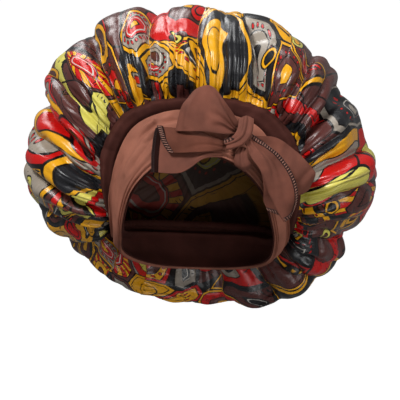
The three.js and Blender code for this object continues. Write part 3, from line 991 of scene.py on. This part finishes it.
def seam_roll_grid():
    """The rolled and overlocked seam that joins the satin and the band inside."""
    angles = np.arange(BAND_COLUMNS) * 360 / BAND_COLUMNS
    line = band_line(angles, np.array([2.84, 2.92, 3.0]))
    normal = grid_normals(line, closed=True)[:, 1]
    across = unit(line[:, 2] - line[:, 0])
    middle = line[:, 1] - normal * (TUCK_BEHIND + SEAM_ROLL_BEHIND)
    turns = np.radians(np.arange(0, 361, 30))
    ruffle = 1 + 0.12 * np.sin(np.radians(angles * PLEATS))
    out = []
    for t in turns:
        sideways = across * math.cos(t) * SEAM_ROLL_WIDTH
        outward = normal * math.sin(t) * SEAM_ROLL_HEIGHT
        out.append(middle + (sideways + outward) * ruffle[:, None])
    return np.stack(out, axis=1)


# A wrinkle's ends and half width, how far it stands out, how far it bows and how it tapers.
WRINKLE = "from to width height bow taper"

# Wrinkles of the tie, in millimetres round the head from the forehead and up from the hem.
TIE_WRINKLES = table(
    WRINKLE,
    ((-14, 34), (-62, 42), 2.2, -2.6, 3),
    ((-16, 30), (-58, 35), 2.0, 1.6, 3),
    ((-20, 24), (-64, 27), 2.0, -2.3, 3),
    ((-30, 38), (-90, 42), 3.0, 1.6, 4),
    ((-38, 18), (-96, 22), 2.2, -1.8, -3),
    ((-44, 12), (-84, 16), 2.6, 1.2, -2),
    ((-48, 35), (-74, 29), 1.9, -4.4, 1),
    ((-48, 39), (-76, 34), 2.4, 2.4, 1),
    ((-50, 27), (-116, 23), 3.2, 3.4, 3),
    ((-50, 20), (-112, 16), 2.4, -2.8, 3),
    ((-50, 13), (-104, 11), 2.0, 1.5, 2),
    ((-66, 30), (-126, 26), 3.0, -1.6, 4),
    ((-60, 10), (-124, 14), 2.0, -1.3, 3),
    ((-104, 34), (-160, 24), 2.6, -1.5, -3),
    ((-110, 18), (-170, 16), 2.6, -1.2, 3),
    ((40, 36), (96, 38), 2.2, -2.2, -3),
    ((44, 26), (112, 22), 2.4, -2.2, -3),
    ((40, 31), (84, 31), 2.0, 1.5, -2),
    ((60, 14), (130, 13), 2.0, -1.7, -2),
    ((90, 30), (150, 26), 2.4, -1.4, 3),
)
MM_PER_DEGREE = 1.62
TIE_WIDTH = 44
TIE_TOP, FOREHEAD_TIE_TOP = 1.98, 2.18
TIE_LIFT = 2.4
TIE_LEAST_LIFT = 0.9
TOP_EDGE_RISE = 3.2
HEM_LINES = table(
    "up rise width",
    (0.8, 1.3, 1.3),
    (3.2, -1.8, 0.7),
    (5.2, 1.1, 1.3),
    (7.6, -1.5, 0.8),
)


def head_tie_grid():
    """The tie, with the fine folds that fan from the bow, a rolled hem and a standing top edge."""
    angles = np.arange(BAND_COLUMNS) * 360 / BAND_COLUMNS
    share = np.linspace(0, 1, 89)[None, :]
    low, high = (band_line(angles, share[0] * top) for top in (TIE_TOP, FOREHEAD_TIE_TOP))
    base = low + (high - low) * forehead_share(angles)[:, None, None]
    normal = grid_normals(base, closed=True)
    a = angles[:, None]
    round_mm = turned(a) * MM_PER_DEGREE
    up = share * TIE_WIDTH
    lift = TIE_LIFT + wrinkles(round_mm, up, TIE_WRINKLES)
    lift += 0.9 * wave_noise(a / 26, share * 1.6, seed=41) * np.sin(math.pi * share)
    for line in HEM_LINES:
        lift += line["rise"] * bell((up - line["up"]) / line["width"])
    lift += TOP_EDGE_RISE * smooth((up - 35) / 9)
    lift = np.maximum(lift, TIE_LEAST_LIFT)
    return base + normal * lift[..., None]


def add_ring(name, grid, wall, material, slot, *nodes):
    u, v = strip_flat(grid, closed=True)
    piece = cloth_object(name, grid, u, v, True, wall, material, material)
    place_piece(piece, slot, *nodes)
    return piece


edge_band = add_ring(
    "edge_band_cloth", edge_band_grid(), JERSEY_WALL, BAND, "band_jersey", "edge_band"
)
head_tie = add_ring("head_tie_cloth", head_tie_grid(), JERSEY_WALL, TIE, "tie_jersey", "head_tie")
seam_roll = add_ring("seam_roll", seam_roll_grid(), SEAM_ROLL_WALL, BAND, "band_jersey")

# Bow

# Each strip's rows are sections across it. A loop's points go from low to high, the left end's from
# its low edge over the folded top to the flap's edge, and the right end's from its right edge to
# the left fold and back under. The knot's go from left to right.
LEFT_LOOP = [
    ((35.5, -93, 62.5), (38, -93, 67), (40.5, -91, 71)),
    ((23.4, -99, 62), (24.5, -103, 78), (27, -101, 92)),
    ((7.5, -102, 64), (9, -104, 82), (17, -101.5, 104.5)),
    ((-10, -102, 64), (-6, -103, 86), (8, -100, 106.8)),
    ((-19.6, -96, 65), (-14.5, -98, 86), (-3, -94, 101)),
    ((-12, -91, 69), (-8, -86, 84), (3, -78, 101)),
    ((16, -91, 69), (18, -85, 78), (22, -80, 88)),
    ((36, -89.5, 64), (38.5, -89, 67), (40.5, -88, 70)),
]
RIGHT_LOOP = [
    ((47, -90, 54), (48.5, -90.1, 57), (50, -90, 60.5)),
    ((60, -80, 35), (69, -81, 46), (75, -78, 59)),
    ((83, -72, 11), (88, -77, 29), (95, -73, 46)),
    ((97, -66, 5), (102, -73, 21), (106, -70, 35)),
    ((107.5, -61, 11), (113, -64, 24), (109.5, -65, 31.5)),
    ((98, -57, 13), (101, -58, 24), (100, -60, 35)),
    ((74, -66, 36), (77, -65, 46), (79, -66, 54)),
    ((46, -85, 55), (47.5, -84, 57.5), (49, -84, 60)),
]
LEFT_END = [
    ((-42, -88.9, 26), (-41.5, -85.4, 47), (-37.5, -82.4, 68.5), (-32, -94.4, 54.5), (-25, -97.4, 44)),
    ((-15, -97.4, 25.5), (-13, -94.9, 47), (-12, -91.4, 66), (-12, -100.4, 56), (-12, -102.4, 44)),
    ((6.5, -99.4, 38.5), (7.5, -95.9, 49), (9, -93.4, 61), (9, -101.4, 54), (8.5, -103.4, 45)),
    ((23, -93.4, 40), (23.5, -92.4, 47), (24, -90.9, 55), (24.5, -96.4, 51), (24, -97.4, 46)),
]
RIGHT_END = [
    ((50.5, -95, 62), (48, -96.5, 57.5), (45.5, -97, 53), (47.5, -94, 54), (48, -92, 55)),
    ((67, -88, 50), (60.5, -95, 44.5), (51, -100, 40), (57, -92, 43), (56, -87, 39)),
    ((82, -85, 37), (71, -92, 32), (60, -95.5, 28), (67, -87, 31), (61, -83.5, 26)),
    ((92.5, -81, 18), (79.5, -88, 15), (65.5, -90, 14), (74, -80, 15), (63.5, -78, 10)),
    ((95, -74, 2), (84.5, -82, -2), (72.5, -84, -3), (80, -74, -2), (63.5, -71, -1)),
    ((91.5, -68, -10.5), (87.5, -74, -17), (82.5, -77, -20), (84, -70, -16), (68, -66, -9)),
]
KNOT_STRAP = [
    ((39.5, -91, 76), (46.5, -91, 79), (53.5, -90, 76)),
    ((38, -99, 66), (44, -102, 64), (51, -98, 61)),
    ((33, -102, 59), (38, -105, 56), (42, -102, 51)),
    ((25.5, -99, 56), (26, -101, 51.5), (28.5, -99, 47)),
    ((32, -87, 62), (34, -85, 56), (38, -84, 51)),
    ((38, -83, 72), (44, -80, 68), (51, -79, 64)),
]
KNOT_TUCK = [
    ((40, -92, 49), (43, -95, 49), (46, -96, 48)),
    ((36, -95, 43), (42, -98.5, 41.5), (47.5, -97.5, 40)),
    ((35, -93, 35), (43.5, -97.5, 30.5), (51, -93.5, 34)),
    ((38, -88.5, 32), (45, -88, 28), (51, -87, 32)),
    ((37, -88, 43), (42, -87.5, 43), (47, -87, 43)),
]


def strip_grid(sections, steps, across, closed):
    """A smooth grid through a strip's sections, steps points along and across points over."""
    count = len(sections)
    over = np.linspace(0, len(sections[0]) - 1, across + 1)
    rows = np.stack([catmull_rom(section, over, closed=False) for section in sections])
    if closed:
        along = np.arange(steps) * count / steps
    else:
        along = np.linspace(0, count - 1, steps + 1)
    return catmull_rom(rows.reshape(count, -1), along, closed).reshape(len(along), -1, 3)


# Folds of the bow's pieces, in millimetres along a strip and over it. They fan from the knot.
LEFT_LOOP_FOLDS = table(
    WRINKLE,
    ((0, 5), (34, 6), 2.6, -2.6, 1),
    ((0, 11), (40, 20), 3.0, -3.0, -2),
    ((4, 20), (42, 34), 3.0, -2.2, 2),
    ((2, 22), (36, 36), 6.0, -3.6, 2, 0.5),
    ((6, 8), (30, 13), 2.6, 1.8),
    ((36, 10), (62, 30), 5.0, -2.2, 3),
    ((52, 4), (58, 38), 2.4, 1.4, 2),
)
RIGHT_LOOP_FOLDS = table(
    WRINKLE,
    ((0, 3), (60, 8), 2.6, -2.2, 2),
    ((0, 9), (58, 20), 3.2, -2.2, -2),
    ((10, 16), (66, 30), 3.0, -1.5, -2),
    ((20, 10), (60, 14), 3.0, 1.6),
    ((66, 8), (84, 24), 4.0, -1.8, 3),
)
LEFT_END_FOLDS = table(
    WRINKLE,
    ((66, 8), (20, 4), 2.2, -1.6, 2),
    ((66, 14), (14, 14), 2.4, -1.5, -2),
    ((66, 22), (22, 30), 2.2, -1.2, 2),
    ((66, 46), (24, 52), 2.0, -1.8, 2),
    ((66, 54), (8, 60), 1.8, -1.5, -1),
    ((50, 40), (10, 46), 2.6, 1.2, 1),
)
RIGHT_END_FOLDS = table(
    WRINKLE,
    ((0, 5), (40, 9), 2.0, -2.2, 1),
    ((0, 10), (52, 19), 2.2, -1.9, -2),
    ((4, 14), (70, 26), 2.6, 1.6, -2),
    ((30, 6), (84, 12), 3.4, -1.5, 3),
    ((0, 24), (60, 42), 2.6, -1.2, 2),
)
KNOT_FOLDS = table(
    WRINKLE,
    ((0, 4), (60, 3), 1.3, -1.1, 0, 0),
    ((0, 9), (60, 8), 1.5, -1.3, 0, 0),
    ((10, 12), (50, 12), 1.2, 0.6, 0, 0),
)
TUCK_FOLDS = table(
    WRINKLE,
    ((0, 4), (36, 5), 1.2, -0.9, 0, 0),
    ((0, 9), (36, 8), 1.2, -0.8, 0, 0),
)


def outward_strip(sections, steps, across, closed):
    """A strip's grid with its normals towards the viewer, or out of a ring or loop."""
    grid = strip_grid(sections, steps, across, closed)
    normal = grid_normals(grid, closed)
    inside = grid.reshape(-1, 3).mean(axis=0) + (0, 12, 0)
    if (normal * (grid - inside)).sum() < 0:
        return grid[:, ::-1], True
    return grid, False


def add_strip(node, sections, creases, steps, across, seed, closed=False, face=SHADED_BOW):
    """The cloth of one piece of the bow, steps points long and across points wide."""
    grid, flipped = outward_strip(sections, steps, across, closed)
    u, v = strip_flat(grid, closed)
    along, over = u[: len(grid)], v[: len(grid)]
    if flipped:
        over = over.max() - over
    soft = 0.6 * wave_noise(along / 22, over / 16, seed=seed)
    lift = soft + wrinkles(along, over, creases) + JERSEY_WALL / 2
    grid = grid + grid_normals(grid, closed) * lift[..., None]
    piece = cloth_object(f"{node}_cloth", grid, u, v, closed, JERSEY_WALL, face, SHADED_BOW)
    place_piece(piece, "tie_jersey", node)
    return piece, grid[:, ::-1] if flipped else grid


left_loop, _ = add_strip("bow_loop_left", LEFT_LOOP, LEFT_LOOP_FOLDS, 140, 56, 51)
right_loop, _ = add_strip("bow_loop_right", RIGHT_LOOP, RIGHT_LOOP_FOLDS, 160, 56, 52)
# The left end's face takes the darker reverse brown, which is partly painted shade.
left_end, left_end_grid = add_strip(
    "tie_end_left", LEFT_END, LEFT_END_FOLDS, 110, 110, 53, face=SHADED_BOW_REVERSE
)
right_end, right_end_grid = add_strip("tie_end_right", RIGHT_END, RIGHT_END_FOLDS, 140, 80, 54)
knot_strap, knot_grid = add_strip("bow_knot", KNOT_STRAP, KNOT_FOLDS, 120, 36, 55, closed=True)
knot_tuck, _ = add_strip("knot_tuck", KNOT_TUCK, TUCK_FOLDS, 90, 32, 56, closed=True)

# Overlocked edges

STITCH_PITCH = 2.7
CHAIN_RADIUS, CROSS_RADIUS = 0.6, 0.42
TO_VIEWER = np.array([0, -1, 0.2])


def edge_frame(rim, inner):
    """Points half a stitch apart along an edge, and the direction into the cloth from each."""
    steps = np.linalg.norm(np.diff(rim, axis=0), axis=1)
    length = running_sum(steps)
    at = np.arange(0, length[-1], STITCH_PITCH / 2)
    outer, under = (
        np.stack([np.interp(at, length, line[:, axis]) for axis in range(3)], axis=1)
        for line in (rim, inner)
    )
    return outer, unit(under - outer)


class Threads:
    """Short square-section threads, gathered into one mesh."""

    def __init__(self):
        self.vertices = []
        self.faces = []
        self.materials = []

    def add(self, a, b, up, radius, material):
        side = unit(np.cross(unit(b - a), up)) * radius
        rise = up * radius
        start = len(self.vertices)
        for end in (a, b):
            self.vertices += [end - side, end + rise, end + side, end - rise]
        for k in range(4):
            n = (k + 1) % 4
            self.faces.append((start + k, start + n, start + 4 + n, start + 4 + k))
        self.faces.append((start + 3, start + 2, start + 1, start))
        self.faces.append((start + 4, start + 5, start + 6, start + 7))
        self.materials += [material] * 6

    def build(self, name):
        mesh = bpy.data.meshes.new(name)
        mesh.from_pydata([tuple(v * MM) for v in self.vertices], [], self.faces)
        mesh.materials.append(DARK_THREAD_AND_EDGE_SHADE)
        mesh.materials.append(LIGHT_THREAD)
        mesh.polygons.foreach_set("material_index", self.materials)
        piece = new_object(name, mesh)
        place_piece(piece, "tie_jersey")
        return piece


def add_overlock(name, rim, inner, reach=3.2, zigzag=1):
    """A cut edge's two dark chains, partly dark thread and partly painted shadow of the cut edge, with
    a thread that zigzags between them. 1 is the light one.
    """
    outer, inward = edge_frame(rim, inner)
    along = np.gradient(outer, axis=0)
    up = unit(np.cross(along, inward))
    up *= np.sign((up * TO_VIEWER).sum(axis=1, keepdims=True))
    edge_line = outer + up * 0.3
    inner_line = outer + inward * reach + up * 0.3
    threads = Threads()
    for k in range(len(outer) - 1):
        n = k + 1
        for line in (edge_line, inner_line):
            threads.add(line[k], line[n], up[k], CHAIN_RADIUS, 0)
        if k % 2:
            start, end = edge_line[k] + up[k] * 0.3, inner_line[n] + up[n] * 0.5
            threads.add(start, end, up[k], CROSS_RADIUS, zigzag)
        else:
            start, end = inner_line[k] + up[k] * 0.3, edge_line[n] + up[n] * 0.3
            threads.add(start, end, up[k], CROSS_RADIUS, 0)
    return threads.build(name)


# Painted shadow: near-black sheets laid over the shaded inside of the left end's fold.
SHADOW_SHEET = jersey_material("painted_shadow_jersey", SHADOW_SHEET_BROWN, 0.7, fuzz=0.0)
SHADOW_SHEET_WALL = 0.5


def add_shadow_sheet(name, grid, ahead):
    """A dark sheet of painted shadow just in front of part of a strip's cloth, standing for the shade
    inside the left end's fold.
    """
    normal = grid_normals(grid, closed=False)
    grid = grid + normal * ahead * np.sign(-normal[..., 1].mean())
    u, v = strip_flat(grid, closed=False)
    piece = cloth_object(name, grid, u, v, False, SHADOW_SHEET_WALL, SHADOW_SHEET, SHADOW_SHEET)
    place_piece(piece, "tie_jersey")
    return piece, grid


# The slices are columns along a strip and rows over it. The left end folds at row 55. The right
# end's foot runs to its left fold at row 40, and its under layer starts at row 62.
# Painted shadow sheets along the left end's shaded edges.
back_shadow_sheet, back_grid = add_shadow_sheet("tie_end_left_back_painted_shadow", left_end_grid[:9, :56], 1.9)
flap_shadow_sheet, flap_grid = add_shadow_sheet("tie_end_left_flap_painted_shadow", left_end_grid[:9, 58:], 0.8)
foot, above_foot = right_end_grid[-1], right_end_grid[-8]
side_stitches = add_overlock("overlock_right_end_side", right_end_grid[:, 0], right_end_grid[:, 8])
foot_stitches = add_overlock("overlock_right_end_foot", foot[:40], above_foot[:40])
under_stitches = add_overlock("overlock_right_end_under", foot[62:], above_foot[62:])
flap_stitches = add_overlock("overlock_left_end_flap", flap_grid[0], flap_grid[-1], 4.0)
# All its threads are dark: this overlock is partly painted shade on the shaded inside of the left
# end's fold.
back_stitches = add_overlock("overlock_left_end_back", back_grid[0], back_grid[-1], 2.0, zigzag=0)
knot_stitches = add_overlock("overlock_knot_edge", knot_grid[42:62, 0], knot_grid[42:62, 8])

# Studio

CAMERA_X = 0.003
CAMERA_DISTANCE = 1.5
FLOOR_Z = -0.34
FLOOR_RADIUS, WALL_RADIUS, WALL_TOP = 2.7, 3.6, 3.4


def studio_bowl():
    """A round floor that curves up into a wall all round. It shows, but adds no glare."""
    bend = WALL_RADIUS - FLOOR_RADIUS
    profile = [(0.4, FLOOR_Z), (1.4, FLOOR_Z), (FLOOR_RADIUS, FLOOR_Z)]
    steps, sides = 12, 72
    for k in range(1, steps + 1):
        turn = k / steps * math.pi / 2
        rise = FLOOR_Z + bend * (1 - math.cos(turn))
        profile.append((FLOOR_RADIUS + bend * math.sin(turn), rise))
    profile.append((WALL_RADIUS, WALL_TOP))
    points = [(0, 0, FLOOR_Z)]
    for k in range(sides):
        turn = k / sides * 2 * math.pi
        points += [(r * math.cos(turn), r * math.sin(turn), z) for r, z in profile]
    count = len(profile)
    faces = []
    for k in range(sides):
        here, there = 1 + k * count, 1 + (k + 1) % sides * count
        faces.append((0, here, there))
        faces += [(here + j, here + j + 1, there + j + 1, there + j) for j in range(count - 1)]
    mesh = bpy.data.meshes.new("studio_bowl")
    mesh.from_pydata(points, [], faces)
    mesh.polygons.foreach_set("use_smooth", [True] * len(faces))
    mesh.materials.append(studio_white())
    bowl = new_object("studio_bowl", mesh)
    bowl.visible_glossy = False
    bowl.visible_diffuse = False


def softbox(name, place, target, size, power):
    lamp = bpy.data.lights.new(name, "AREA")
    lamp.shape = "RECTANGLE"
    lamp.size, lamp.size_y = size
    lamp.energy = power
    holder = new_object(name, lamp)
    holder.location = place
    aim = Vector(target) - Vector(place)
    holder.rotation_euler = aim.to_track_quat("-Z", "Y").to_euler()
    holder.visible_camera = False


studio_bowl()
softbox("key", (-0.85, -1.5, 1.25), (0, 0, 0.05), (0.38, 0.38), 42)
softbox("fill", (1.3, -1.3, 0.7), (0, 0, 0.05), (0.5, 0.9), 9)
softbox("top", (0.1, 0.1, 1.5), (0, 0, 0.05), (0.6, 0.4), 7)
softbox("low", (0.45, -1.1, -0.31), (0.03, 0, -0.07), (0.9, 0.2), 5.2)
softbox("behind", (-0.5, 0.9, 1.5), (0, 0.1, 0.05), (0.7, 0.6), 10)

world = bpy.data.worlds.new("studio")
world.use_nodes = True
background = world.node_tree.nodes["Background"]
background.inputs[0].default_value = (1, 1, 1, 1)
background.inputs[1].default_value = 0.22
bpy.context.scene.world = world
bpy.context.scene.view_settings.view_transform = "Standard"

camera = bpy.data.cameras.new("camera")
camera.lens = 135
camera.sensor_width = 36
holder = new_object("camera", camera)
holder.location = (CAMERA_X, -CAMERA_DISTANCE, 0)
holder.rotation_euler = (math.pi / 2, 0, 0)
bpy.context.scene.camera = holder
